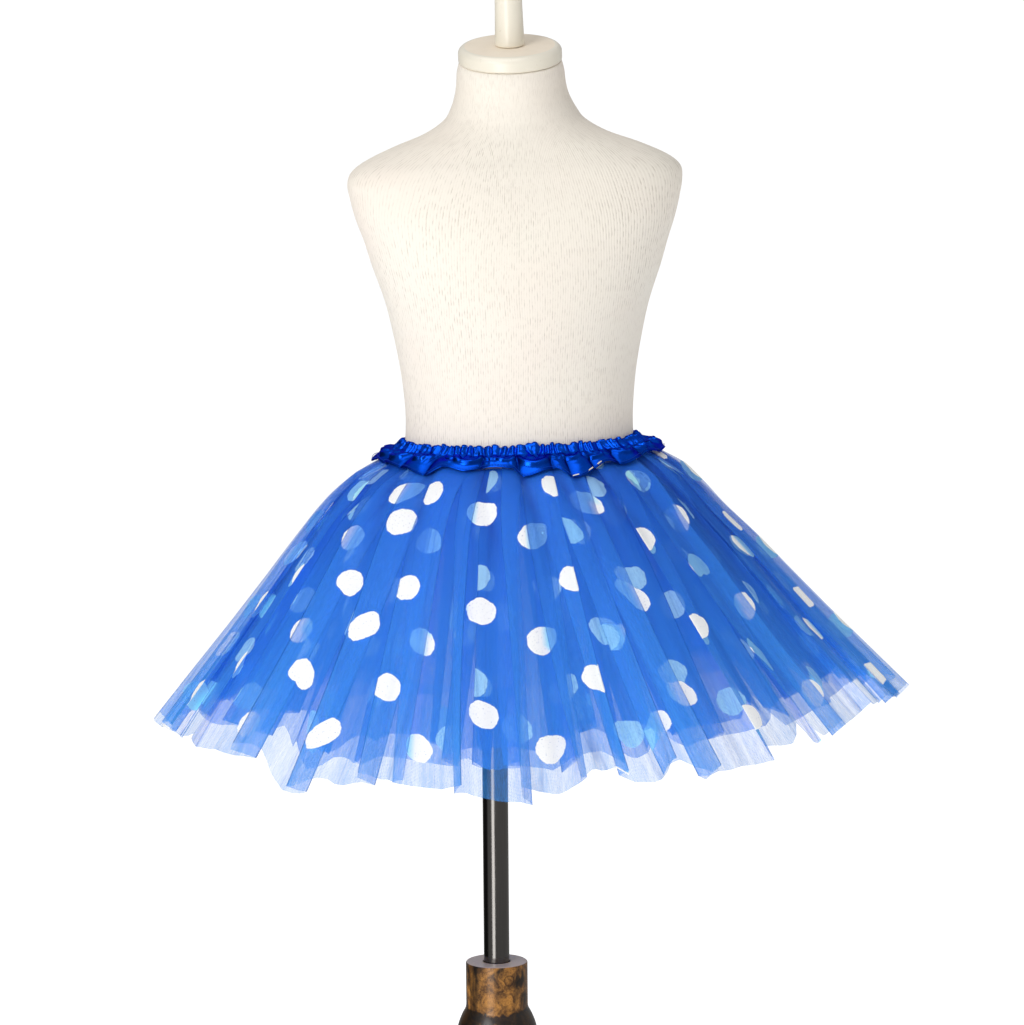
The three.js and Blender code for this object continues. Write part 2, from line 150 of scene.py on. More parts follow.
# Skirt: the smooth form that every fold follows
SKIRT_TILT = math.radians(1.35)
WAIST_HALF_WIDTH = 91.2 * MM
WAIST_HALF_DEPTH = 76 * MM
FRONT_IS_STEEPER_BY = math.radians(8)
FRONT_IS_SHORTER_BY = 10 * MM
SLANT_STEP = 2 * MM
SLANT_STEPS = 165
TURN_STEPS = 720

# Flare of the skirt's sides: distance down the slant, degrees, and degrees more at the right side
SIDE_FLARE = [
    (0, 34, 0), (7, 66, 0), (20, 60, 0), (33, 53, -2), (55, 48, -4), (80, 45, -2), (105, 45, 3),
    (150, 41.5, 1.5), (330, 41.5, 1.5),
]

# How many millimetres shorter the hem is at these turns round the waist
HEM_LIFTS = [
    (0, 2), (0.04, -3), (0.09, 6), (0.13, 8), (0.17, -2), (0.22, -6), (0.26, 3), (0.31, -5), (0.35, 2),
    (0.4, 8), (0.44, 3), (0.47, -2), (0.5, 3), (0.525, 10), (0.545, 6), (0.572, 11), (0.59, 12),
    (0.607, 17), (0.616, 1), (0.626, -13), (0.634, -11), (0.641, 0), (0.647, 1), (0.652, -3), (0.66, 5),
    (0.673, 5), (0.682, 2), (0.7, -2), (0.708, 2), (0.716, -2), (0.735, -3), (0.75, -9), (0.756, -4),
    (0.762, 2), (0.767, 9), (0.777, 10), (0.787, -2), (0.793, -4), (0.798, -2), (0.803, 12), (0.8085, 14),
    (0.8135, 3), (0.819, -4), (0.8245, 1), (0.845, 4), (0.868, 5), (0.875, 22), (0.882, 4), (0.905, 11),
    (0.945, 14), (0.975, 9), (1, 2),
]

# The deep folds of the seam, in turns round the waist
SEAM_FOLDS = [
    0.01, 0.052, 0.094, 0.128, 0.171, 0.206, 0.232, 0.276, 0.309, 0.352, 0.387, 0.43, 0.468, 0.505,
    0.545, 0.59, 0.632, 0.695, 0.737, 0.775, 0.793, 0.822, 0.856, 0.901, 0.949,
]
FOLD_LEAN = 0.014
LEAN_LENGTH = 45 * MM
LOBE_ROUNDNESS = 0.6
FULL_LOBE_WIDTH = 0.045

# Slow waves of the hem: the share of each, how many go round the waist, and where it starts
FLUTTER_HEIGHT = 2.2 * MM
FLUTTER_REACH = 0.3
FLUTTER_WAVES = [(1, 5, 1.3), (0.6, 9, 0.2), (0.5, 17, 2.1)]

# Satin waistband, in distances down the slant from its top edge. Its drops are how much lower its edge
# hangs at these turns, and its swags are rounded folds under the channel with their radii.
BAND_LENGTH = 33 * MM
BAND_TOP = 3.5 * MM
BAND_EDGE = 26 * MM
BAND_COLUMNS = 1056
BAND_ROUND = 600 * MM
CHANNEL_LENGTH = 12 * MM
BAND_OUT = [(0, 2.9), (4, 2.2), (9.5, 0.9), (18, 0.8), (26, 0.9), (33, 0.8), (52, 0.8)]
PUFF_HEIGHT = [(0, 0), (11, 0), (15, 1.4), (21, 3.8), (27, 3.4), (34, 2.2), (52, 2)]
BAND_DROPS = [
    (0, 1), (0.03, 6), (0.052, 9), (0.058, 1), (0.094, 0), (0.12, 5), (0.128, 1), (0.171, 0), (0.2, 9),
    (0.206, 1), (0.24, 3), (0.276, 0), (0.3, 6), (0.309, 11), (0.314, 2), (0.352, 0), (0.38, 5), (0.387, 0),
    (0.42, 5), (0.43, 1), (0.468, 0), (0.5, 5), (0.507, 0), (0.545, 2), (0.594, 4), (0.63, 9), (0.652, 1),
    (0.677, 4), (0.699, 0), (0.731, 1), (0.744, 9), (0.778, 2), (0.797, 12), (0.842, 1), (0.864, 5),
    (0.913, -2), (0.938, 1), (1, 1),
]
SATIN_SWAGS = [
    (0.03, 8), (0.075, 10), (0.11, 6), (0.15, 9), (0.19, 7), (0.22, 5), (0.255, 9), (0.292, 8), (0.33, 9),
    (0.37, 7), (0.41, 10), (0.45, 8), (0.487, 7), (0.527, 9), (0.567, 10), (0.611, 8), (0.655, 5),
    (0.677, 9.5), (0.706, 5), (0.722, 7), (0.756, 11), (0.784, 5), (0.801, 7), (0.83, 8), (0.848, 6),
    (0.876, 9), (0.918, 7), (0.938, 9), (0.98, 9),
]
TACKS = [(0.797, 0.8025), (0.8155, 0.829)]
STITCH_FROM_EDGE = 1.6 * MM
STITCH_OUT = 0.9 * MM
STITCH_SHARE = 0.72
BAND_CUT = (0.72, 0.05)
BAND_ROWS = 40

# Inside turn of the satin as (distance down, distance out) points, and the humps of its top edge: the
# height of each kind, how many go round the waist, where they start and how sharp they are. The peak is
# one hump with its turn, width and height.
BAND_INSIDE = [(8, -0.1), (6, 0), (3, 0.2), (1, 0.5), (-0.2, 1), (-0.8, 1.8), (-0.5, 2.5)]
BAND_HUMPS = [(1.5, 13, 0.4, 6), (1.2, 47, 0, 2)]
BAND_PEAK = (0.757, 0.01, 2.5)
HUMP_DEPTH = 5 * MM

# Tulle: three layers, each laid in broad overlapping folds. In folds, ">" and "<" are folds whose edge
# faces on round the waist and back. Dyes and covers are for the top and the hem. The dyes hold painted
# shade as well as the blue: darker at the top and on the inner layers. The inner layers' dots are tinted
# cyan as painted shade of the net in front.
TULLE_TUCK = 12 * MM
PLEAT_DEPTH_AT_SEAM = 0.8 * MM
TULLE_ROWS = 44
LOBE_HEIGHT = [(28, 2), (33, 2.8), (48, 5.5), (75, 5), (110, 3), (160, 1), (210, 0), (330, 0)]
PLATEAU_CLOTH = 36 * MM
PLATEAU_SHARE_AT_SEAM = 0.7
FOLD_RETURNS = (3 * MM, 15 * MM)
FOLD_WEIGHTS = (0.5, 1.5)
FOLD_SWAY = 0.12
FOLD_LONGER = 3 * MM
FOLD_SLANT = 5 * MM
SMALLEST_TUCK = 1.2 * MM
# How far down the skirt the painted shade of the seam's folds reaches
VALLEY_SHADE_LENGTH = 110 * MM
PRINT_WANDER = [(12 * MM, 52 * MM), (7 * MM, 23 * MM)]
SATIN_INSIDE = -1.5 * MM
TULLE_WALL = 1.4 * MM
WALL_SHARE_AT_SEAM = 0.66
WALL_SHARE_AT_HEM = 1.1
TULLE_LAYERS = [
    {
        "name": "tulle_outer", "length": 304, "depth": 7, "fill": 0.95, "turn": 0.02, "seed": 4,
        "folds": "<<>>><<>><><<<>>><<>><<<>><<>>><<><<>>",
        "print_at": (0.32, 0.41), "cover": (0.38, 0.47), "ink_with_net_shade": (254, 255, 255),
        "dyes": [(24, 106, 218), (64, 150, 234)],
    },
    {
        "name": "tulle_middle", "length": 278, "depth": 6.5, "fill": 0.8, "turn": 0.45, "seed": 9,
        "folds": "<>><<<>><<>><>>><<<>><<>>><<>><<>>",
        "print_at": (0.7, 0.09), "cover": (0.72, 0.5), "ink_with_net_shade": (206, 253, 255),
        "dyes": [(10, 86, 204), (48, 132, 224)],
    },
    {
        "name": "tulle_inner", "length": 259, "depth": 6, "fill": 0.8, "turn": 0.71, "seed": 16,
        "folds": "<<>>><<>><<<>><>>><<>><<>>><<>>",
        "print_at": (0.15, 0.36), "cover": (0.84, 0.62), "ink_with_net_shade": (160, 240, 255),
        "dyes": [(10, 76, 194), (46, 120, 214)],
    },
]
LONGEST = TULLE_LAYERS[0]["length"] * MM
DOT_PITCH = 88 * MM
DOT_COLUMN = 66 * MM
DOT_RADIUS = 11.8 * MM
DOT_RAGGED = 1.4 * MM
DOT_WOBBLE = 3.5 * MM
MESH_CELL = 1.25 * MM
# Painted shade: the cyan of dots on plies hidden under a fold, for the net in front of them
HIDDEN_INK_SHADE = (176, 238, 255)


def arithmetic(operation, swapped=False):
    """A method that adds a Math node for a wire and a value."""

    def method(wire, value):
        return wire.network.maths(operation, *((value, wire) if swapped else (wire, value)))

    return method


class Wire:
    """One output of a node. Arithmetic on it adds Math nodes to its network."""

    def __init__(self, network, socket):
        self.network = network
        self.socket = socket

    def other(self, name):
        return Wire(self.network, self.socket.node.outputs[name])

    __add__ = arithmetic("ADD")
    __radd__ = arithmetic("ADD", swapped=True)
    __sub__ = arithmetic("SUBTRACT")
    __rsub__ = arithmetic("SUBTRACT", swapped=True)
    __mul__ = arithmetic("MULTIPLY")
    __rmul__ = arithmetic("MULTIPLY", swapped=True)
    __truediv__ = arithmetic("DIVIDE")
    __pow__ = arithmetic("POWER")


class Network:
    """A node tree that is written as expressions on its wires."""

    def __init__(self, tree):
        self.tree = tree
        self.tree.nodes.clear()

    def node(self, kind, sockets=None, output=0, **settings):
        made = self.tree.nodes.new(kind)
        for name, value in settings.items():
            setattr(made, name, value)
        for name, value in (sockets or {}).items():
            if isinstance(value, Wire):
                self.tree.links.new(value.socket, made.inputs[name])
            else:
                made.inputs[name].default_value = value
        return Wire(self, made.outputs[output]) if made.outputs else None

    def ramp(self, share, stops):
        made = self.node("ShaderNodeValToRGB", {"Fac": share})
        elements = made.socket.node.color_ramp.elements
        while len(elements) < len(stops):
            elements.new(1)
        for element, (position, colour) in zip(elements, stops):
            element.position = position
            element.color = paint(*colour)
        return made

    def maths(self, operation, *values):
        return self.node("ShaderNodeMath", dict(enumerate(values)), operation=operation)

    def held(self, value, low=0, high=1):
        return self.node("ShaderNodeClamp", {"Value": value, "Min": low, "Max": high})

    def mix(self, share, first, second):
        return self.node("ShaderNodeMix", {0: share, 6: first, 7: second}, 2, data_type="RGBA")

    def place(self):
        return self.node("ShaderNodeTexCoord", output="Object")

    def parts(self, vector):
        return self.node("ShaderNodeSeparateXYZ", {"Vector": vector})

    def attribute(self, name):
        return self.node("ShaderNodeAttribute", output="Fac", attribute_name=name)

    def vector(self, x=0, y=0, z=0):
        return self.node("ShaderNodeCombineXYZ", {"X": x, "Y": y, "Z": z})

    def noise(self, place, scale, detail=2, roughness=0.5, distortion=0):
        sockets = {"Vector": place, "Scale": scale, "Detail": detail, "Roughness": roughness}
        return self.node("ShaderNodeTexNoise", {**sockets, "Distortion": distortion})

    def stretched(self, place, scale):
        return self.node("ShaderNodeVectorMath", {0: place, 1: scale}, operation="MULTIPLY")

    def bump(self, height, distance, strength=1):
        sockets = {"Height": height, "Distance": distance, "Strength": strength}
        return self.node("ShaderNodeBump", sockets, output="Normal")


def paint(red, green, blue):
    """A screen colour from 0 to 255 as the linear colour that a shader takes."""
    shares = [value / 255 for value in (red, green, blue)]
    return (*(s / 12.92 if s <= 0.04045 else ((s + 0.055) / 1.055) ** 2.4 for s in shares), 1)


def material(name, recipe):
    """A new material. The recipe gets its network and returns the main shader's sockets."""
    made = bpy.data.materials.new(name)
    made.use_nodes = True
    network = Network(made.node_tree)
    shader = network.node("ShaderNodeBsdfPrincipled", recipe(network))
    network.node("ShaderNodeOutputMaterial", {"Surface": shader})
    return made


def jersey(net):
    """Cream rib jersey stretched over the form: fine wales that run down it, broken by single loops, with
    painted shade that darkens the grooves between the wales.
    """
    place = net.place()
    spot = net.parts(place)
    height = spot.other("Z")
    angle = net.maths("ARCTAN2", spot.other("Y") - WAIST.y, spot - WAIST.x)
    wander = net.noise(place, 16)
    wale = angle * (JERSEY_WALES / TURN) + wander * 2.5
    ribs = net.maths("SINE", wale * TURN) * 0.5 + 0.5
    groove = net.held(1 - ribs * 2.2)
    loops = net.noise(net.vector(wale * 1.3, height * 170), 1)
    dash_patches = net.held(net.noise(place, 12) * 2.4 - 0.6)
    patches = net.noise(place, 9)
    light = net.mix(patches, paint(252, 248, 235), paint(250, 238, 226))
    # Painted shade: the grooves between the wales, and dashes of loops within them, are painted darker.
    dashes = groove * net.held((loops - 0.46) * 5) * (dash_patches * 0.75 + 0.25)
    colour = net.mix(dashes * 0.62 + groove * 0.05, light, paint(184, 172, 156))
    relief = net.bump(ribs * 0.4 - dashes, 0.3 * MM, 0.5)
    return {"Base Color": colour, "Roughness": 0.9, "Specular IOR Level": 0.2, "Normal": relief}


def cream_paint(net):
    """Cream paint on turned wood, with brush marks and a few rubbed spots."""
    place = net.place()
    brush = net.noise(net.stretched(place, (1, 1, 6)), 90, 3)
    spots = net.held((net.noise(place, 240) - 0.7) * 8)
    colour = net.mix(spots * 0.5, paint(244, 237, 220), paint(205, 190, 165))
    return {
        "Base Color": colour,
        "Roughness": brush * 0.16 + 0.28,
        "Coat Weight": 0.25,
        "Coat Roughness": 0.15,
        "Normal": net.bump(brush, 0.12 * MM, 0.4),
    }


def bare_beige(net):
    """The cap's flat top, dull where its paint was rubbed thin."""
    rub = net.noise(net.place(), 60, 3)
    colour = net.mix(rub, paint(252, 240, 222), paint(240, 226, 206))
    return {"Base Color": colour, "Roughness": 0.75, "Normal": net.bump(rub, 0.1 * MM, 0.3)}


def dark_steel(net):
    """Dark polished tube, with fine draw marks along its length."""
    place = net.place()
    marks = net.noise(net.stretched(place, (1, 1, 0.02)), 1500, 3)
    smears = net.noise(net.stretched(place, (1, 1, 0.3)), 40, 3)
    colour = net.mix(marks, paint(94, 92, 90), paint(116, 113, 110))
    return {"Base Color": colour, "Metallic": 1, "Roughness": marks * 0.1 + smears * 0.08 + 0.08}


def black_enamel(net):
    place = net.place()
    peel = net.noise(place, 700)
    wear = net.held((net.noise(place, 120, 3) - 0.66) * 6)
    colour = net.mix(wear, paint(28, 27, 27), paint(70, 66, 62))
    return {"Base Color": colour, "Roughness": wear * 0.3 + 0.38, "Normal": net.bump(peel, 0.1 * MM, 0.4)}


def burl(net):
    """Lacquered burl: ochre at front and back, nearly black at its foot, with painted shade that darkens
    its left and right sides and a painted reflection that greys its top face.
    """
    place = net.place()
    spot = net.parts(place)
    height = spot.other("Z")
    angle = net.maths("ARCTAN2", spot.other("Y"), spot)
    clouds = net.noise(place, 75, 4, 0.6, 1.4)
    mottle = net.noise(place, 480, 4, 0.75)
    smoke = net.noise(net.stretched(place, (1, 1, 0.3)), 52, 3, 0.5, 1.2)
    ochres = [(0.32, (34, 23, 14)), (0.46, (112, 74, 34)), (0.6, (190, 130, 56))]
    ochre = net.ramp(clouds * 0.6 + mottle * 0.4, ochres)
    # Painted shade: the left and right sides are darkened towards black, for the dark surround they
    # reflect.
    sides = net.maths("COSINE", angle * 2) * 0.5 + 0.5
    below = net.held((BURL_FOOT - height) / (5 * MM))
    veins_and_side_shade = net.held((smoke - 0.58 + sides * 0.17 + below * 0.3) * 9)
    flecks = net.held((mottle - 0.56) * 6)
    knot = net.node("ShaderNodeVectorMath", {0: place, 1: KNOT}, output=1, operation="DISTANCE")
    knot = knot + (clouds - 0.5) * (5 * MM)
    knot = net.held(1 - net.maths("ABSOLUTE", knot - 4.2 * MM) / (0.8 * MM))
    wood = net.mix(flecks * 0.6, ochre, paint(34, 22, 13))
    wood = net.mix(knot * 0.8, wood, paint(40, 24, 12))
    wood = net.mix(veins_and_side_shade * 0.92, wood, paint(15, 16, 15))
    # Painted reflection: the top face is painted pale grey for the white surround that its lacquer
    # reflects.
    top = net.held((height - COLUMN_TOP + 0.5 * MM) / (0.3 * MM))
    wood = net.mix(top * 0.9, wood, net.mix(mottle, paint(222, 200, 184), paint(176, 158, 146)))
    return {
        "Base Color": wood,
        "Roughness": mottle * 0.2 + 0.25,
        "Specular IOR Level": 0.3,
        "Coat Weight": 0.12,
        "Coat Roughness": 0.12,
        "Normal": net.bump(mottle, 0.25 * MM, 0.4),
    }


def stained_wood(net):
    """Straight-grained dark wood under clear gloss, for the base."""
    place = net.place()
    rings = net.noise(net.stretched(place, (1, 9, 9)), 16, 5, 0.6, 0.4)
    pores = net.noise(net.stretched(place, (1, 12, 12)), 110, 3)
    colour = net.mix(rings, paint(40, 25, 14), paint(104, 66, 33))
    colour = net.mix(net.held((pores - 0.6) * 6) * 0.6, colour, paint(24, 15, 9))
    return {
        "Base Color": colour,
        "Roughness": pores * 0.2 + 0.3,
        "Coat Weight": 0.6,
        "Coat Roughness": 0.1,
        "Normal": net.bump(pores, 0.2 * MM, 0.3),
    }


def satin(net):
    """Royal blue satin: long floats along the strip give it a tight, blue sheen, and painted shade darkens
    it in the seam's folds.
    """
    cloth = net.node("ShaderNodeUVMap", uv_map="cloth")
    floats = net.noise(net.stretched(cloth, (180, 2600, 1)), 1)
    blotch = net.noise(net.stretched(cloth, (60, 60, 1)), 1)
    valley_shade = net.attribute("valley_shade")
    colour = net.mix(blotch, paint(3, 50, 152), paint(10, 76, 200))
    # Painted shade: darker navy in the seam's folds between the puffs.
    colour = net.mix(net.held(valley_shade), colour, paint(0, 20, 84))
    return {
        "Base Color": colour,
        "Metallic": 0.92,
        "Roughness": floats * 0.12 + 0.19,
        "Specular IOR Level": 0.1,
        "Specular Tint": paint(20, 120, 255),
        "Normal": net.bump(floats, 0.03 * MM, 0.3),
    }


def thread(dark, light, sheen):
    """Twisted sewing thread between two dyes. sheen holds the shader's constant sockets."""

    def recipe(net):
        twist = net.noise(net.place(), 2500, 1)
        colour = net.mix(twist, paint(*dark), paint(*light))
        return {"Base Color": colour, "Normal": net.bump(twist, 0.1 * MM, 0.5), **sheen}

    return recipe


def tulle(layer):
    """Soft net printed with dots in half drop. print_at shifts the print along the layer's strip."""
    shift_across, shift_along = layer["print_at"]

    def recipe(net):
        cloth = net.node("ShaderNodeUVMap", uv_map="cloth")
        spot = net.parts(cloth)
        across = spot
        along = spot.other("Y")

        column = across / DOT_COLUMN + shift_across
        beside = net.maths("WRAP", column, 0.5, -0.5)
        above = net.maths("WRAP", along / DOT_PITCH + (column - beside) * 0.5 + shift_along, 0.5, -0.5)
        away = net.maths("SQRT", (beside * DOT_COLUMN) ** 2 + (above * DOT_PITCH) ** 2)
        ragged = (net.noise(cloth, 1100) - 0.5) * DOT_RAGGED
        away = away + ragged + (net.noise(cloth, 130) - 0.5) * DOT_WOBBLE
        print_area = net.held((DOT_RADIUS - away) / (0.5 * MM))
        specks = net.held((net.noise(cloth, 900) - 0.64) * 9)
        dot = print_area * (1 - specks * 0.7)
        cell = TURN / MESH_CELL
        threads = net.maths("SINE", across * cell + along * (cell * 0.55))
        threads = threads * net.maths("SINE", across * cell - along * (cell * 0.55))
        strokes = net.noise(net.stretched(cloth, (900, 110, 1)), 1, 2, 0.6) - 0.5
        pressed = net.noise(net.stretched(cloth, (38, 1.6, 1)), 1, 1, 0.4)
        pressed = net.held(1 - net.maths("ABSOLUTE", pressed - 0.5) * 55)
        bands = net.noise(net.stretched(cloth, (26, 2.4, 1)), 1) - 0.5
        fold = net.attribute("crease")
        valley_shade = net.attribute("valley_shade")
        hidden = net.attribute("hidden")
        fine = net.noise(net.stretched(cloth, (95, 2.2, 1)), 1, 2, 0.6) - 0.5
        fall = net.held(along / LONGEST)
        grain = strokes * (fall * 0.3 + 0.12) + threads * 0.12
        top_cover, hem_cover = layer["cover"]
        cover = fall * fall * (hem_cover - top_cover) + top_cover
        cover = cover + grain + bands * 0.2 + fine * fall * 0.7 + fold * fall * 0.25 + pressed * 0.1
        alpha = net.maths("MAXIMUM", net.held(cover, 0.08, 0.95), dot * 0.97)
        # Painted shade: the dyes are darker at the top and on the inner layers, for the cloth in front of
        # them.
        blue = net.mix(fall, *(paint(*dye) for dye in layer["dyes"]))
        # Painted shade: darker blue along fold edges and pressed lines towards the hem, and in the seam's
        # folds near the top.
        shade = net.held(fold * fall * 0.35 + pressed * 0.3 + valley_shade * 0.85)
        blue = net.mix(shade, blue, paint(4, 44, 150))
        # Painted shade: dots on the inner layers and on plies hidden under a fold are tinted cyan, for the
        # net in front of them.
        ink_with_net_shade = net.mix(net.held(hidden), paint(*layer["ink_with_net_shade"]), paint(*HIDDEN_INK_SHADE))
        colour = net.mix(dot, blue, ink_with_net_shade)
        return {"Base Color": colour, "Roughness": 0.7, "Specular IOR Level": 0.2, "Alpha": alpha}

    return recipe


def link(name, data, finish=None):
    """A new object of the scene, made of a mesh, a lamp or a camera."""
    made = bpy.data.objects.new(name, data)
    bpy.context.scene.collection.objects.link(made)
    if finish:
        data.materials.append(finish)
    return made


def ring_mesh(name, points, closed_ends=False):
    """A mesh from rings of points. The rings follow each other and run counterclockwise."""
    rows, columns, _ = points.shape
    index = np.arange(rows * columns).reshape(rows, columns)
    after = np.roll(index, -1, axis=1)
    quads = np.stack([index[:-1], index[1:], after[1:], after[:-1]], axis=-1).reshape(-1, 4)
    faces = quads.tolist()
    if closed_ends:
        faces += [index[0].tolist(), index[-1][::-1].tolist()]
    mesh = bpy.data.meshes.new(name)
    mesh.from_pydata(points.reshape(-1, 3).tolist(), [], faces)
    mesh.polygons.foreach_set("use_smooth", [True] * len(mesh.polygons))
    return mesh


def add_cloth_map(mesh, cloth):
    """Gives a ring mesh its place on the flat strip. cloth has one column more than the mesh."""
    corners = [cloth[:-1, :-1], cloth[1:, :-1], cloth[1:, 1:], cloth[:-1, 1:]]
    layer = mesh.uv_layers.new(name="cloth")
    layer.data.foreach_set("uv", np.stack(corners, axis=2).astype(np.float32).ravel())


def add_number(mesh, name, values):
    attribute = mesh.attributes.new(name, "FLOAT", "POINT")
    attribute.data.foreach_set("value", values.astype(np.float32).ravel())


def read(table, at):
    """Reads a table of (place, value) pairs in millimetres, as metres, at places in metres."""
    places, values = np.array(table, float).T
    return np.interp(at / MM, places, values) * MM


def softened(share):
    """0 to 1 with a soft start and end."""
    share = np.clip(share, 0, 1)
    return share * share * (3 - 2 * share)


def place_camera():
    heading = -EYE_AZIMUTH + math.atan(AIM_RIGHT_PX / FOCAL_PX)
    level = Vector((math.sin(heading), math.cos(heading), 0))
    forward = level * math.cos(AIM_DOWN) - Vector((0, 0, math.sin(AIM_DOWN)))
    level_right = forward.cross(Vector((0, 0, 1))).normalized()
    right = Matrix.Rotation(-CAMERA_ROLL, 3, forward) @ level_right
    up = right.cross(forward)
    eye = Vector((math.sin(EYE_AZIMUTH), -math.cos(EYE_AZIMUTH), 0)) * EYE_DISTANCE
    eye.z = EYE_HEIGHT
    camera = bpy.data.cameras.new("camera")
    camera.sensor_fit = "HORIZONTAL"
    camera.sensor_width = SENSOR_MM
    camera.lens = FOCAL_PX / IMAGE_WIDTH_PX * SENSOR_MM
    camera.clip_end = 100
    holder = link("camera", camera)
    axes = Matrix((right, up, -forward)).transposed().to_4x4()
    holder.matrix_world = Matrix.Translation(eye) @ axes
    bpy.context.scene.camera = holder


def make_light(name, place, aim, size, watts):
    lamp = bpy.data.lights.new(name, "AREA")
    lamp.shape = "RECTANGLE"
    lamp.size, lamp.size_y = size
    lamp.energy = watts
    holder = link(name, lamp)
    holder.location = place
    holder.rotation_euler = (Vector(aim) - Vector(place)).to_track_quat("-Z", "Y").to_euler()
    if "card" in name:
        holder.visible_camera = False
        holder.visible_diffuse = False


def make_studio():
    """A pale floor, a white surround with a dark flag at the left, and soft light from the front left."""
    world = bpy.data.worlds.new("studio")
    world.use_nodes = True
    bpy.context.scene.world = world
    net = Network(world.node_tree)
    towards = net.node("ShaderNodeTexCoord", output="Generated")
    rise = net.parts(towards).other("Z")
    facing = net.node("ShaderNodeVectorMath", {0: towards, 1: FLAG_SIDE}, output=1, operation="DOT_PRODUCT")
    flag = net.held((facing - 0.74) * 8)
    level = net.held(rise * 2 + 1.4) * 0.8 + net.held(rise * 1.6 - 0.2) * 0.75 + 0.1
    lit = level * (1 - flag * 0.92) * SURROUND_LIGHT
    seen = net.node("ShaderNodeLightPath", output="Is Camera Ray")
    strength = lit + seen * (1.05 - lit)
    sky = net.node("ShaderNodeBackground", {"Color": (1, 1, 1, 1), "Strength": strength})
    net.node("ShaderNodeOutputWorld", {"Surface": sky})
    for light in LIGHTS:
        make_light(*light)
    bpy.ops.mesh.primitive_circle_add(vertices=96, radius=FLOOR_RADIUS, fill_type="NGON")
    floor = bpy.context.active_object
    floor.name = "floor"
    floor.visible_glossy = False

    def pale(net):
        tone = net.mix(net.noise(net.place(), 3), paint(246, 246, 246), paint(250, 250, 250))
        return {"Base Color": tone, "Roughness": 0.9, "Emission Color": tone, "Emission Strength": 0.6}

    floor.data.materials.append(material("pale floor", pale))


def rounded(profile, rounding):
    """Rounds each inner corner of a profile of (radius, height) points."""
    points = [Vector(p) for p in profile]
    made = [points[0]]
    for before, corner, after in zip(points, points[1:], points[2:]):
        reach = min(rounding, (before - corner).length * 0.45, (after - corner).length * 0.45)
        start = corner + (before - corner).normalized() * reach
        end = corner + (after - corner).normalized() * reach
        for share in (0, 0.25, 0.5, 0.75, 1):
            made.append(start.lerp(corner, share).lerp(corner.lerp(end, share), share))
    return made + [points[-1]]


def turned(name, profile, finish, rounding, place=Matrix.Identity(4), sides=96):
    """A turned piece. Its profile starts at the bottom, and both its ends lie on the axis."""
    curve = rounded(profile, rounding)
    angles = np.arange(sides) / sides * TURN
    rings = [
        [place @ Vector((p.x * math.cos(a), p.x * math.sin(a), p.y)) for a in angles]
        for p in reversed(curve[1:-1])
    ]
    return link(name, ring_mesh(name, np.array(rings), closed_ends=True), finish)


def catmull_rom(rows, steps):
    """A smooth run of rows through the given ones, with this many steps from each to the next."""
    padded = np.concatenate([rows[:1], rows, rows[-1:]])
    made = []
    for i in range(len(rows) - 1):
        a, b, c, d = padded[i : i + 4]
        for t in np.arange(steps) / steps:
            squared = (2 * a - 5 * b + 4 * c - d) * t**2
            cubed = (3 * b - a - 3 * c + d) * t**3
            made.append(0.5 * (2 * b + (c - a) * t + squared + cubed))
    return np.array(made + [rows[-1]])


def torso_ring(section):
    z, wide, deep, x, y, pitch, roll, square = section
    angle = np.arange(TORSO_COLUMNS) / TORSO_COLUMNS * TURN
    cosine, sine = np.cos(angle), np.sin(angle)
    across = wide * np.sign(cosine) * np.abs(cosine) ** (2 / square)
    along = deep * np.sign(sine) * np.abs(sine) ** (2 / square)
    height = z + along * math.tan(math.radians(pitch)) + across * math.tan(math.radians(roll))
    return np.stack([x + across, y + along, height], axis=-1) * MM


def disc(radius, top, foot, edge):
    """The profile of a disc with bevels at its foot and its upper edge."""
    side = [(radius - foot, 0), (radius, foot), (radius, top - edge), (radius - edge, top)]
    return [(0, 0), *side, (0, top)]


def make_torso(finish):
    rings = catmull_rom(np.array([torso_ring(section) for section in TORSO_SECTIONS]), TORSO_STEPS)
    rings += (WAIST.x, WAIST.y, 0)
    torso = link("torso", ring_mesh("torso", rings, closed_ends=True), finish)
    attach(torso, "form")
    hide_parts("form_torso")


def make_neck(finish, top_finish):
    seat = Matrix.Translation(Vector((WAIST.x, WAIST.y, NECK_TOP)) + NECK_OFFSET)
    lean = seat @ Matrix.Rotation(CAP_PITCH, 4, "X") @ Matrix.Rotation(-CAP_ROLL, 4, "Y")
    cap_profile = disc(CAP_RADIUS, CAP_THICKNESS, CAP_FOOT_BEVEL, CAP_TOP_BEVEL)
    above = Matrix.Translation((0, 0, SEAM_GAP))
    cap = turned("cap", cap_profile, finish, rounding=2.2 * MM, place=lean @ above)
    cap.data.materials.append(top_finish)
    cap.data.polygons[-2].material_index = 1
    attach(cap, "form")
    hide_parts("neck_cap")
    knob_profile = [
        (0, 0),
        (FINIAL_ROOT, 0),
        (FINIAL_ROOT - FINIAL_TAPER[0], FINIAL_TAPER[1]),
        *[(FINIAL_TIP * wide, FINIAL_LENGTH * high) for wide, high in FINIAL_END],
        (0, FINIAL_LENGTH),
    ]
    above = Matrix.Translation((0, 0, CAP_THICKNESS + 2 * SEAM_GAP))
    knob = turned("knob", knob_profile, finish, rounding=2 * MM, place=lean @ above, sides=64)
    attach(knob, "form")
    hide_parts("finial")


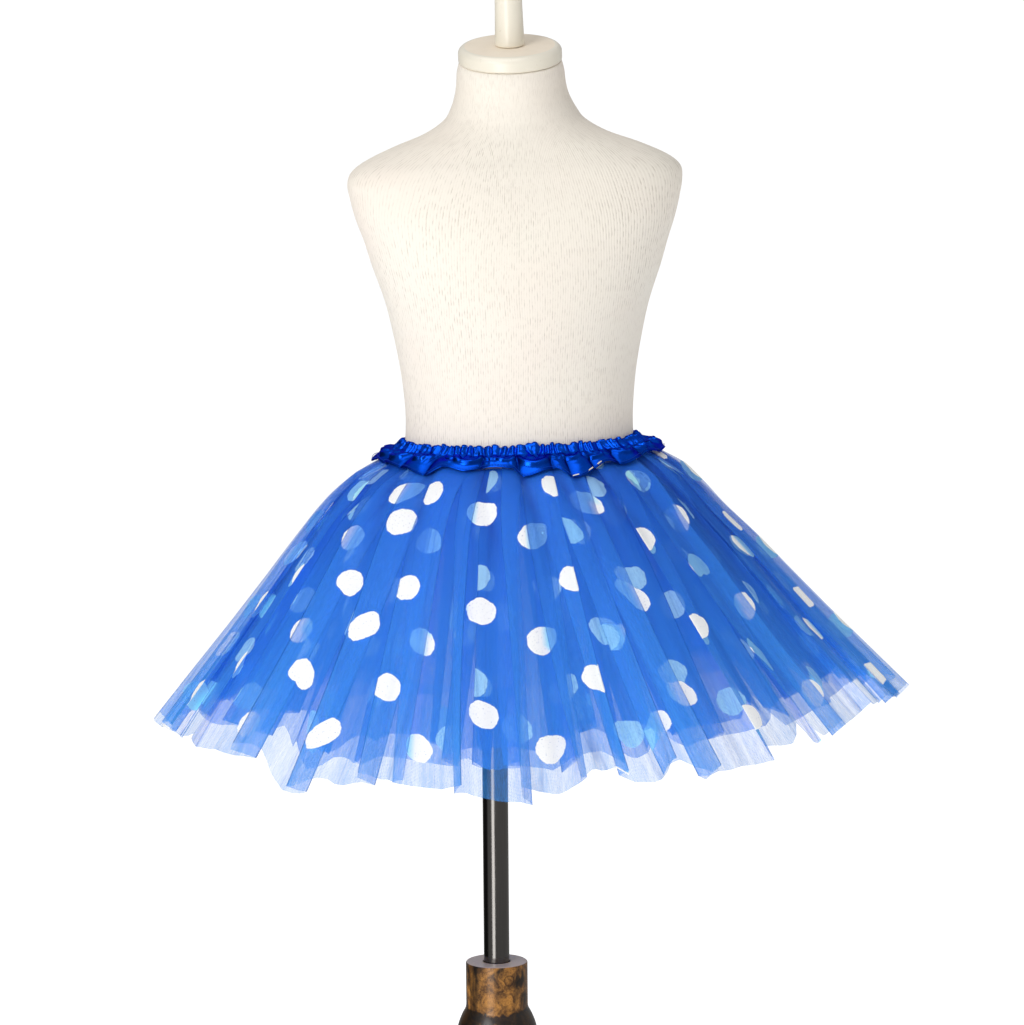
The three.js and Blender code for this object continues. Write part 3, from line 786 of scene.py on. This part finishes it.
def make_stand():
    base_profile = disc(BASE_RADIUS, BASE_THICKNESS, BASE_FOOT_BEVEL, BASE_EDGE_ROUND)
    base = turned("base", base_profile, material("stained wood", stained_wood), rounding=5 * MM, sides=128)
    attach(base, "stand")
    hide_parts("base_disc")
    foot = BASE_THICKNESS + SEAM_GAP
    vase = catmull_rom(np.array(COLUMN_VASE, float) * MM, 4)
    column_profile = [
        (0, foot),
        (COLUMN_FOOT_RADIUS, foot),
        (COLUMN_FOOT_RADIUS, foot + COLUMN_FOOT_HEIGHT),
        *[tuple(point) for point in vase],
        (COLLAR_RADIUS, COLUMN_VASE[-1][1] * MM + COLLAR_RISE),
        (COLLAR_RADIUS, COLUMN_TOP - COLLAR_BEVEL),
        (COLLAR_RADIUS - COLLAR_BEVEL, COLUMN_TOP),
        (COLUMN_BORE_RADIUS + BORE_BEVEL[0], COLUMN_TOP),
        (COLUMN_BORE_RADIUS, COLUMN_TOP - BORE_BEVEL[1]),
        (COLUMN_BORE_RADIUS, COLUMN_BORE_BOTTOM),
        (0, COLUMN_BORE_BOTTOM),
    ]
    column = turned("column", column_profile, material("burl", burl), rounding=0.7 * MM)
    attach(column, "stand")
    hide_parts("wood_column")
    low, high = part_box("pole")
    pole_profile = [(0, low.z), (POLE_RADIUS, low.z), (POLE_RADIUS, high.z), (0, high.z)]
    pole = turned("tube", pole_profile, material("dark steel", dark_steel), rounding=1 * MM)
    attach(pole, "pole")
    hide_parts("pole")
    bore = POLE_RADIUS + SEAM_GAP
    top = TORSO_BOTTOM - SEAM_GAP
    under = top - FLANGE_THICKNESS
    ring = [
        (bore, under - FLANGE_SLEEVE_LENGTH),
        (FLANGE_SLEEVE_RADIUS, under - FLANGE_SLEEVE_LENGTH),
        (FLANGE_SLEEVE_RADIUS, under),
        (FLANGE_RADIUS, under),
        (FLANGE_RADIUS, top),
        (bore, top),
    ]
    angles = np.arange(FLANGE_SIDES) / FLANGE_SIDES * TURN
    closed = ring[::-1] + [ring[-1]]
    rings = np.array([[(r * math.cos(a), r * math.sin(a), z) for a in angles] for r, z in closed])
    flange = link("flange", ring_mesh("flange", rings), material("black enamel", black_enamel))
    flange.data.set_sharp_from_angle(angle=math.radians(40))
    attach(flange, "form")
    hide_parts("form_flange")


def smooth_skirt():
    """How far out and down each place of the smooth skirt lies, and its flare there, by turn and slant."""
    angle = np.arange(TURN_STEPS + 1)[:, None] / TURN_STEPS * TURN
    middle = (np.arange(SLANT_STEPS)[None] + 0.5) * SLANT_STEP / MM
    places, degrees, more = np.array(SIDE_FLARE, float).T
    side = np.interp(middle, places, degrees)
    right = np.interp(middle, places, more)
    flare = np.radians(side + right * np.cos(angle)) - FRONT_IS_STEEPER_BY * np.sin(angle) ** 2
    start = np.zeros((TURN_STEPS + 1, 1))
    steps = [np.sin(flare) * SLANT_STEP, np.cos(flare) * SLANT_STEP]
    reaches = [np.concatenate([start, np.cumsum(step, axis=1)], axis=1) for step in steps]
    return np.stack([*reaches, np.concatenate([flare[:, :1], flare], axis=1)], axis=-1)


SMOOTH_SKIRT = smooth_skirt()


def on_skirt(across, down, out):
    """Points at these turns round the waist and distances down the slant, moved out from the form."""
    column = np.mod(across, 1) * TURN_STEPS
    row = down / SLANT_STEP
    i = np.clip(column.astype(int), 0, TURN_STEPS - 1)
    j = np.clip(row.astype(int), 0, SLANT_STEPS - 1)
    f, g = (column - i)[..., None], (row - j)[..., None]
    upper = SMOOTH_SKIRT[i, j] * (1 - f) + SMOOTH_SKIRT[i + 1, j] * f
    lower = SMOOTH_SKIRT[i, j + 1] * (1 - f) + SMOOTH_SKIRT[i + 1, j + 1] * f
    outwards, downwards, flare = np.moveaxis(upper * (1 - g) + lower * g, -1, 0)
    level = outwards + out * np.cos(flare)
    x = (WAIST_HALF_WIDTH + level) * np.cos(across * TURN)
    y = (WAIST_HALF_DEPTH + level) * np.sin(across * TURN)
    z = out * np.sin(flare) - downwards
    c, s = math.cos(SKIRT_TILT), -math.sin(SKIRT_TILT)
    return np.stack([x * c + z * s + WAIST.x, y + WAIST.y, z * c - x * s + WAIST.z], axis=-1)


def seam_lobe(place):
    """How the cloth stands between the folds of the seam: 0 in a fold, up to 1 on a broad lobe."""
    place = np.mod(place, 1)
    folds = np.array([SEAM_FOLDS[-1] - 1, *SEAM_FOLDS, SEAM_FOLDS[0] + 1])
    after = np.searchsorted(folds, place)
    width = folds[after] - folds[after - 1]
    share = (place - folds[after - 1]) / width
    return np.sin(math.pi * share) ** LOBE_ROUNDNESS * np.minimum(1, np.sqrt(width / FULL_LOBE_WIDTH))


def hem_length(length, place):
    """How long a layer is at a place: shorter at the steeper front and back, and uneven all round."""
    at, lift = np.array(HEM_LIFTS, float).T
    even = length - FRONT_IS_SHORTER_BY * np.sin(place * TURN) ** 2
    return even - np.interp(np.mod(place, 1), at, lift) * MM


def flutter(place, down):
    """Slow waves towards the hem that all the layers share."""
    waves = sum(height * np.sin(TURN * count * place + start) for height, count, start in FLUTTER_WAVES)
    return FLUTTER_HEIGHT * waves * (down / FLUTTER_REACH) ** 2


def layer_offsets():
    """How far the middle of each layer's pleats lies inside the smooth skirt, at its top and hem."""
    top, hem, made = SATIN_INSIDE, 0, []
    for layer in TULLE_LAYERS:
        depth = layer["depth"] * MM
        top -= PLEAT_DEPTH_AT_SEAM + SEAM_GAP
        made.append((top, hem - depth))
        top -= PLEAT_DEPTH_AT_SEAM + WALL_SHARE_AT_SEAM * TULLE_WALL
        hem -= 2 * depth + WALL_SHARE_AT_HEM * TULLE_WALL + SEAM_GAP
    return made


# Where the columns of a fold lie: their shares of its broad face, and of the return that runs back
FACE_SHARES = np.array([0, 0.02, 0.07, 0.15, 0.24, 0.34, 0.45, 0.55, 0.66, 0.76, 0.85, 0.93, 0.98])
RETURN_SHARES = np.array([0, 0.06, 0.35, 0.65, 0.94])


def ring_length(down, out):
    """Lengths along one level ring of the skirt, from its start to each of its steps."""
    across = np.arange(TURN_STEPS + 1) / TURN_STEPS
    ring = on_skirt(across, np.full(TURN_STEPS + 1, down), np.full(TURN_STEPS + 1, out))
    steps = np.linalg.norm(np.diff(ring, axis=0), axis=1)
    return across, np.concatenate([[0], np.cumsum(steps)])


def fold_shape(opens, closes, t):
    """How high a fold's face stands along its width: 1 at a fold's edge, 0 where its return ends."""
    if opens and closes:
        return 0 * t
    if opens:
        return 1 - (1 - t) ** 1.5
    if closes:
        return 1 - t**1.5
    return 1 - 0.2 * np.sin(math.pi * t)


def choose_folds(layer, hem_ring):
    """Sizes of each fold of a layer: uneven, and fixed by the layer's seed."""
    rng = np.random.default_rng(layer["seed"])
    edges = layer["folds"]
    opens = np.array([edge == ">" for edge in edges])
    closes = np.roll(~opens, -1)
    returns = opens * 1 + closes
    flat = returns == 0
    count = len(edges)
    weights = rng.uniform(*FOLD_WEIGHTS, count) * ~flat
    shares = weights / weights.sum()
    free = hem_ring - PLATEAU_CLOTH * flat.sum()
    tucked = 2 * returns * rng.uniform(*FOLD_RETURNS, count)
    sway = rng.uniform(-FOLD_SWAY, FOLD_SWAY, count)
    sway[1:][flat[:-1]] = sway[:-1][flat[:-1]]
    return {
        "opens": opens,
        "closes": closes,
        "returns": returns,
        "flat": flat,
        "shares": shares,
        "cloth": np.where(flat, PLATEAU_CLOTH, shares * free + tucked),
        "sway": sway,
        "wave": rng.uniform(0.05, 0.22, count),
        "waves": rng.uniform(1.1, 2.6, count),
        "wave_start": rng.uniform(0, TURN, count),
        "longer": rng.uniform(-FOLD_LONGER, FOLD_LONGER, count),
        "slant": rng.uniform(-FOLD_SLANT, FOLD_SLANT, count),
    }


def fold_return(start, tuck, used, height, drop):
    """Columns of a return, from the fold's edge back under its neighbour or out from under it."""
    back = RETURN_SHARES
    return start - tuck * back, height, used + tuck * back, np.full(len(back), drop), back == 0, back > 0


def fold_row(folds, edge, share):
    """One row of columns: place along the ring, height, place on the strip, drop, edge and hidden marks."""
    parts = []
    used = 0
    for k in range(len(folds["cloth"])):
        tuck = (folds["cloth"][k] - edge[k + 1] + edge[k]) / max(2 * folds["returns"][k], 1)
        tuck = max(tuck, SMALLEST_TUCK)
        face_from, face_to = edge[k], edge[k + 1]
        longer, slant = folds["longer"][k], folds["slant"][k]
        if folds["opens"][k]:
            height = (1 - RETURN_SHARES) ** 0.8
            parts.append(fold_return(edge[k], tuck, used, height, longer - slant / 2))
            used += tuck
            face_from -= tuck
        if folds["closes"][k]:
            face_to += tuck
        t = FACE_SHARES
        ripple = np.sin(folds["waves"][k] * TURN * t + folds["wave_start"][k]) * np.sin(math.pi * t)
        level = fold_shape(folds["opens"][k], folds["closes"][k], t)
        level = level + ripple * folds["wave"][k] * share**0.5
        face = folds["cloth"][k] - tuck * folds["returns"][k]
        spot = face_from + (face_to - face_from) * t
        hidden = (spot < edge[k]) | (spot > edge[k + 1])
        drop = longer + slant * (t - 0.5)
        parts.append((spot, np.clip(level, -0.05, 1.1), used + face * t, drop, t == 0, hidden))
        used += face
        if folds["closes"][k]:
            parts.append(fold_return(face_to, tuck, used, RETURN_SHARES**0.8, longer + slant / 2))
            used += tuck
    return [np.concatenate(column) for column in zip(*parts)], used


def make_tulle(layer, offsets):
    """Lays one strip round the waist in folds that overlap either way from a few broad lobes."""
    start = BAND_LENGTH - TULLE_TUCK
    length = layer["length"] * MM
    middle_length = length - FRONT_IS_SHORTER_BY / 2
    across, ring = ring_length(middle_length, offsets[1])
    folds = choose_folds(layer, ring[-1])
    plateaus = folds["flat"].sum()
    count = len(folds["cloth"])
    points, cloth, creased, valley_shades, hidden = [], [], [], [], []
    for row in range(TULLE_ROWS + 1):
        share = row / TULLE_ROWS
        mean_offset = offsets[0] + (offsets[1] - offsets[0]) * share
        across, ring = ring_length(start + (middle_length - start) * share, mean_offset)
        plateau = PLATEAU_CLOTH * (PLATEAU_SHARE_AT_SEAM + (1 - PLATEAU_SHARE_AT_SEAM) * share)
        gap = np.where(folds["flat"], plateau, folds["shares"] * (ring[-1] - plateau * plateaus))
        edge = np.concatenate([[0], np.cumsum(gap)[:-1]])
        edge += (layer["turn"] - 0.5 * FOLD_LEAN * (1 - share)) * ring[-1]
        edge += folds["sway"] * ring[-1] / count * math.sin(math.pi * share)
        edge = np.append(edge, edge[0] + ring[-1])
        (spot, level, u, drop, mark, under), used = fold_row(folds, edge, share)
        place = np.floor(spot / ring[-1]) + np.interp(np.mod(spot, ring[-1]), ring, across)
        down = start + (hem_length(length, place) + drop - start) * share
        reach = np.clip((down - start) / (LONGEST - start), 0, 1.1)
        offset = offsets[0] + (offsets[1] - offsets[0]) * reach
        depth = PLEAT_DEPTH_AT_SEAM + (layer["depth"] * MM - PLEAT_DEPTH_AT_SEAM) * reach
        lobe = seam_lobe(place - FOLD_LEAN * np.clip((down - start) / LEAN_LENGTH, 0, 1.5))
        out = offset + depth * (2 * level - 1) * layer["fill"] + read(LOBE_HEIGHT, down) * lobe
        points.append(on_skirt(place, down, out + flutter(place, down)))
        strip = np.append(u, used)
        (broad, broad_length), (small, small_length) = PRINT_WANDER
        wander = broad * np.sin(strip / broad_length + layer["seed"]) + small * np.sin(strip / small_length)
        print_row = start + (length - start) * share + wander * (1 - 0.6 * share)
        cloth.append(np.stack([strip, print_row], axis=-1))
        creased.append(mark)
        hidden.append(under)
        # Painted shade for the net: strongest in the seam's folds, fading out down the skirt.
        valley_shades.append((1 - lobe) ** 2 * np.clip(1.1 - (down - start) / VALLEY_SHADE_LENGTH, 0, 1))
    mesh = ring_mesh(layer["name"], np.array(points))
    add_cloth_map(mesh, np.array(cloth))
    add_number(mesh, "crease", np.array(creased))
    add_number(mesh, "hidden", np.array(hidden))
    add_number(mesh, "valley_shade", np.array(valley_shades))
    name = "net_" + layer["name"].split("_")[1]
    net = link(name, mesh, material(name, tulle(layer)))
    net.visible_shadow = False
    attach(net, "form")
    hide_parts(layer["name"])
    return net, folds["cloth"].sum()


def grown(name, source, finish, recipe, sizes):
    """Runs a Geometry Nodes recipe with named sizes on source, and returns its result as a plain mesh."""
    tree = bpy.data.node_groups.new(name, "GeometryNodeTree")
    net = Network(tree)
    for way in ("INPUT", "OUTPUT"):
        tree.interface.new_socket("Geometry", in_out=way, socket_type="NodeSocketGeometry")
    kind = {"in_out": "INPUT", "socket_type": "NodeSocketFloat"}
    sockets = {title: tree.interface.new_socket(title, **kind) for title in sizes}
    entry = net.node("NodeGroupInput")
    made = recipe(net, entry, {title: entry.other(title) for title in sizes})
    real = net.node("GeometryNodeRealizeInstances", {"Geometry": made})
    painted = net.node("GeometryNodeSetMaterial", {"Geometry": real, "Material": finish})
    net.node("NodeGroupOutput", {"Geometry": painted})
    modifier = source.modifiers.new(name, "NODES")
    modifier.node_group = tree
    for title, socket in sockets.items():
        modifier[socket.identifier] = sizes[title]
    bpy.context.view_layer.update()
    evaluated = source.evaluated_get(bpy.context.evaluated_depsgraph_get())
    mesh = bpy.data.meshes.new_from_object(evaluated)
    bpy.data.objects.remove(source)
    return link(name, mesh)


def ruche(net, geometry, size):
    """Ruches satin tightly over its elastic, with finer folds that fade out below it."""
    across, down = (
        net.node("GeometryNodeInputNamedAttribute", {"Name": name}, data_type="FLOAT")
        for name in ("across", "down")
    )
    normal = net.node("GeometryNodeInputNormal")
    angle = across * TURN
    round_x, round_y = net.maths("COSINE", angle), net.maths("SINE", angle)
    wander = net.noise(net.vector(round_x, round_y, down * 4), 5, 2) - 0.5
    wave = net.maths("SINE", angle * size["Ruches"] + wander * 30)
    uneven = net.noise(net.vector(round_x, round_y), 26, 1) + 0.45
    tight = net.maths("SQRT", wave * 0.5 + 0.5) * net.held((size["Channel"] + 3 * MM - down) / (5 * MM))
    drawn = net.maths("SINE", angle * (size["Ruches"] * 0.42) + wander * 40) * 0.5 + 0.5
    below = net.held((down - size["Channel"]) / (4 * MM)) * net.held((size["Fold End"] - down) / (9 * MM))
    height = tight * uneven * size["Ruche Depth"] + drawn * below * uneven * size["Fold Depth"]
    move = net.node("ShaderNodeVectorMath", {0: normal, "Scale": height}, operation="SCALE")
    return net.node("GeometryNodeSetPosition", {"Geometry": geometry, "Offset": move})


def stitches(net, geometry, size):
    """Sets short raised stitches end to end along a line."""
    line = net.node("GeometryNodeMeshToCurve", {"Mesh": geometry})
    sockets = {"Curve": line, "Length": size["Pitch"]}
    points = net.node("GeometryNodeCurveToPoints", sockets, output="Points", mode="LENGTH")
    spin = points.other("Rotation")
    shape = {"Radius": size["Thickness"] / 2, "Depth": size["Pitch"] * STITCH_SHARE, "Vertices": 6}
    stitch = net.node("GeometryNodeMeshCylinder", shape, output="Mesh")
    sockets = {"Points": points, "Instance": stitch, "Rotation": spin}
    return net.node("GeometryNodeInstanceOnPoints", sockets)


def eased(table, place):
    """Reads a table of (turn, value) pairs with a soft start and end to each step."""
    at, value = np.array(table, float).T
    place = np.mod(place, 1)
    after = np.clip(np.searchsorted(at, place, side="right"), 1, len(at) - 1)
    share = (place - at[after - 1]) / (at[after] - at[after - 1])
    return value[after - 1] + (value[after] - value[after - 1]) * softened(share)


def band_edge(place):
    """The satin's lower edge, in distances down the slant."""
    return BAND_EDGE + eased(BAND_DROPS, place) * MM


def band_out(place, down):
    """How far the satin stands out: puffed between the seam's folds, with rounded swags on the puffs."""
    swags = 0 * place
    for at, radius in SATIN_SWAGS:
        x = (place - at - np.round(place - at)) * BAND_ROUND / (radius * MM)
        y = (down - CHANNEL_LENGTH) / (1.1 * radius * MM)
        ridge = np.exp(-(((np.hypot(x, y) - 1) / 0.2) ** 2))
        swags = np.maximum(swags, ridge * min(radius / 7, 1.2))
    swags = swags * softened((down - CHANNEL_LENGTH + 1 * MM) / (5 * MM))
    return read(BAND_OUT, down) + read(PUFF_HEIGHT, down) * seam_lobe(place) + 2 * MM * swags


def make_waistband():
    """One satin strip, folded over the elastic, ruched there and left as a gathered flounce below."""
    place = np.arange(BAND_COLUMNS) / BAND_COLUMNS
    hump = 0
    for height, count, start, sharpness in BAND_HUMPS:
        hump = hump + height * MM * np.sin(TURN * place * count + start) ** sharpness
    at, width, height = BAND_PEAK
    hump = hump + height * MM * np.exp(-(((place - at) / width) ** 2))
    even = np.ones(BAND_COLUMNS)
    rows = [(even * (BAND_TOP + down * MM), even * out * MM) for down, out in BAND_INSIDE]
    top = BAND_TOP + 0.5 * MM
    for share in np.linspace(0, 1, BAND_ROWS):
        down = top + (band_edge(place) - top) * share
        rows.append((down, band_out(place, down)))
    points, cloth, downs, valley_shades = [], [], [], []
    travelled = 0
    for i, (down, out) in enumerate(rows):
        raised = down - hump * np.exp(-np.abs(down - BAND_TOP) / HUMP_DEPTH)
        points.append(on_skirt(place, raised, out))
        if i:
            travelled = travelled + np.linalg.norm(points[-1] - points[-2], axis=-1).mean()
        u = np.arange(BAND_COLUMNS + 1) / BAND_COLUMNS * BAND_CUT[0]
        cloth.append(np.stack([u, np.full(BAND_COLUMNS + 1, travelled)], axis=-1))
        downs.append(down)
        # Painted shade for the satin: strongest in the seam's folds, below the channel.
        below = softened((down - CHANNEL_LENGTH + 2 * MM) / (4 * MM))
        valley_shades.append(below * (1 - seam_lobe(place)) ** 1.5)
    mesh = ring_mesh("band", np.array(points))
    add_cloth_map(mesh, np.array(cloth))
    add_number(mesh, "across", np.tile(place, len(rows)))
    add_number(mesh, "down", np.array(downs))
    add_number(mesh, "valley_shade", np.array(valley_shades))
    sizes = {"Ruches": 92, "Ruche Depth": 2.2 * MM, "Fold Depth": 1.5 * MM, "Fold End": 24 * MM}
    sizes["Channel"] = CHANNEL_LENGTH
    band = grown("satin_band", link("band", mesh), material("satin", satin), ruche, sizes)
    wall = band.modifiers.new("wall", "SOLIDIFY")
    wall.thickness = 0.3 * MM
    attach(band, "form")
    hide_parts("waistband")
    return band


def make_stitches(name, place, joined, finish, sizes):
    """A row of stitches just above the satin's lower edge. joined pairs the points that a thread joins."""
    down = band_edge(place) - STITCH_FROM_EDGE
    points = on_skirt(place, down, band_out(place, down) + STITCH_OUT)
    mesh = bpy.data.meshes.new(name)
    mesh.from_pydata(points.tolist(), joined, [])
    row = grown(name, link(name + "_line", mesh), finish, stitches, sizes)
    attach(row, "form")
    return row


place_camera()
make_studio()
make_torso(material("jersey", jersey))
make_neck(material("cream paint", cream_paint), material("bare beige", bare_beige))
make_stand()
nets = [make_tulle(layer, offset) for layer, offset in zip(TULLE_LAYERS, layer_offsets())]
band = make_waistband()
fine_places = np.arange(2 * BAND_COLUMNS) / (2 * BAND_COLUMNS)
fine_pairs = [(i, (i + 1) % len(fine_places)) for i in range(len(fine_places))]
fine_sizes = {"Pitch": 2.4 * MM, "Thickness": 0.5 * MM}
dull = {"Roughness": 0.8, "Specular IOR Level": 0.1}
blue_thread = material("thread", thread((2, 30, 112), (12, 66, 180), dull))
seam = make_stitches("seam_stitches", fine_places, fine_pairs, blue_thread, fine_sizes)
tack_sizes = {"Pitch": 7 * MM, "Thickness": 0.9 * MM}
tack_pairs = [(0, 1), (2, 3)]
cream_thread = material("cream thread", thread((232, 220, 200), (250, 244, 230), {"Roughness": 0.6}))
tacks = make_stitches("tacks", np.array(TACKS).ravel(), tack_pairs, cream_thread, tack_sizes)
bpy.context.scene.cycles.transparent_max_bounces = 40
bpy.context.scene.view_settings.view_transform = "Standard"
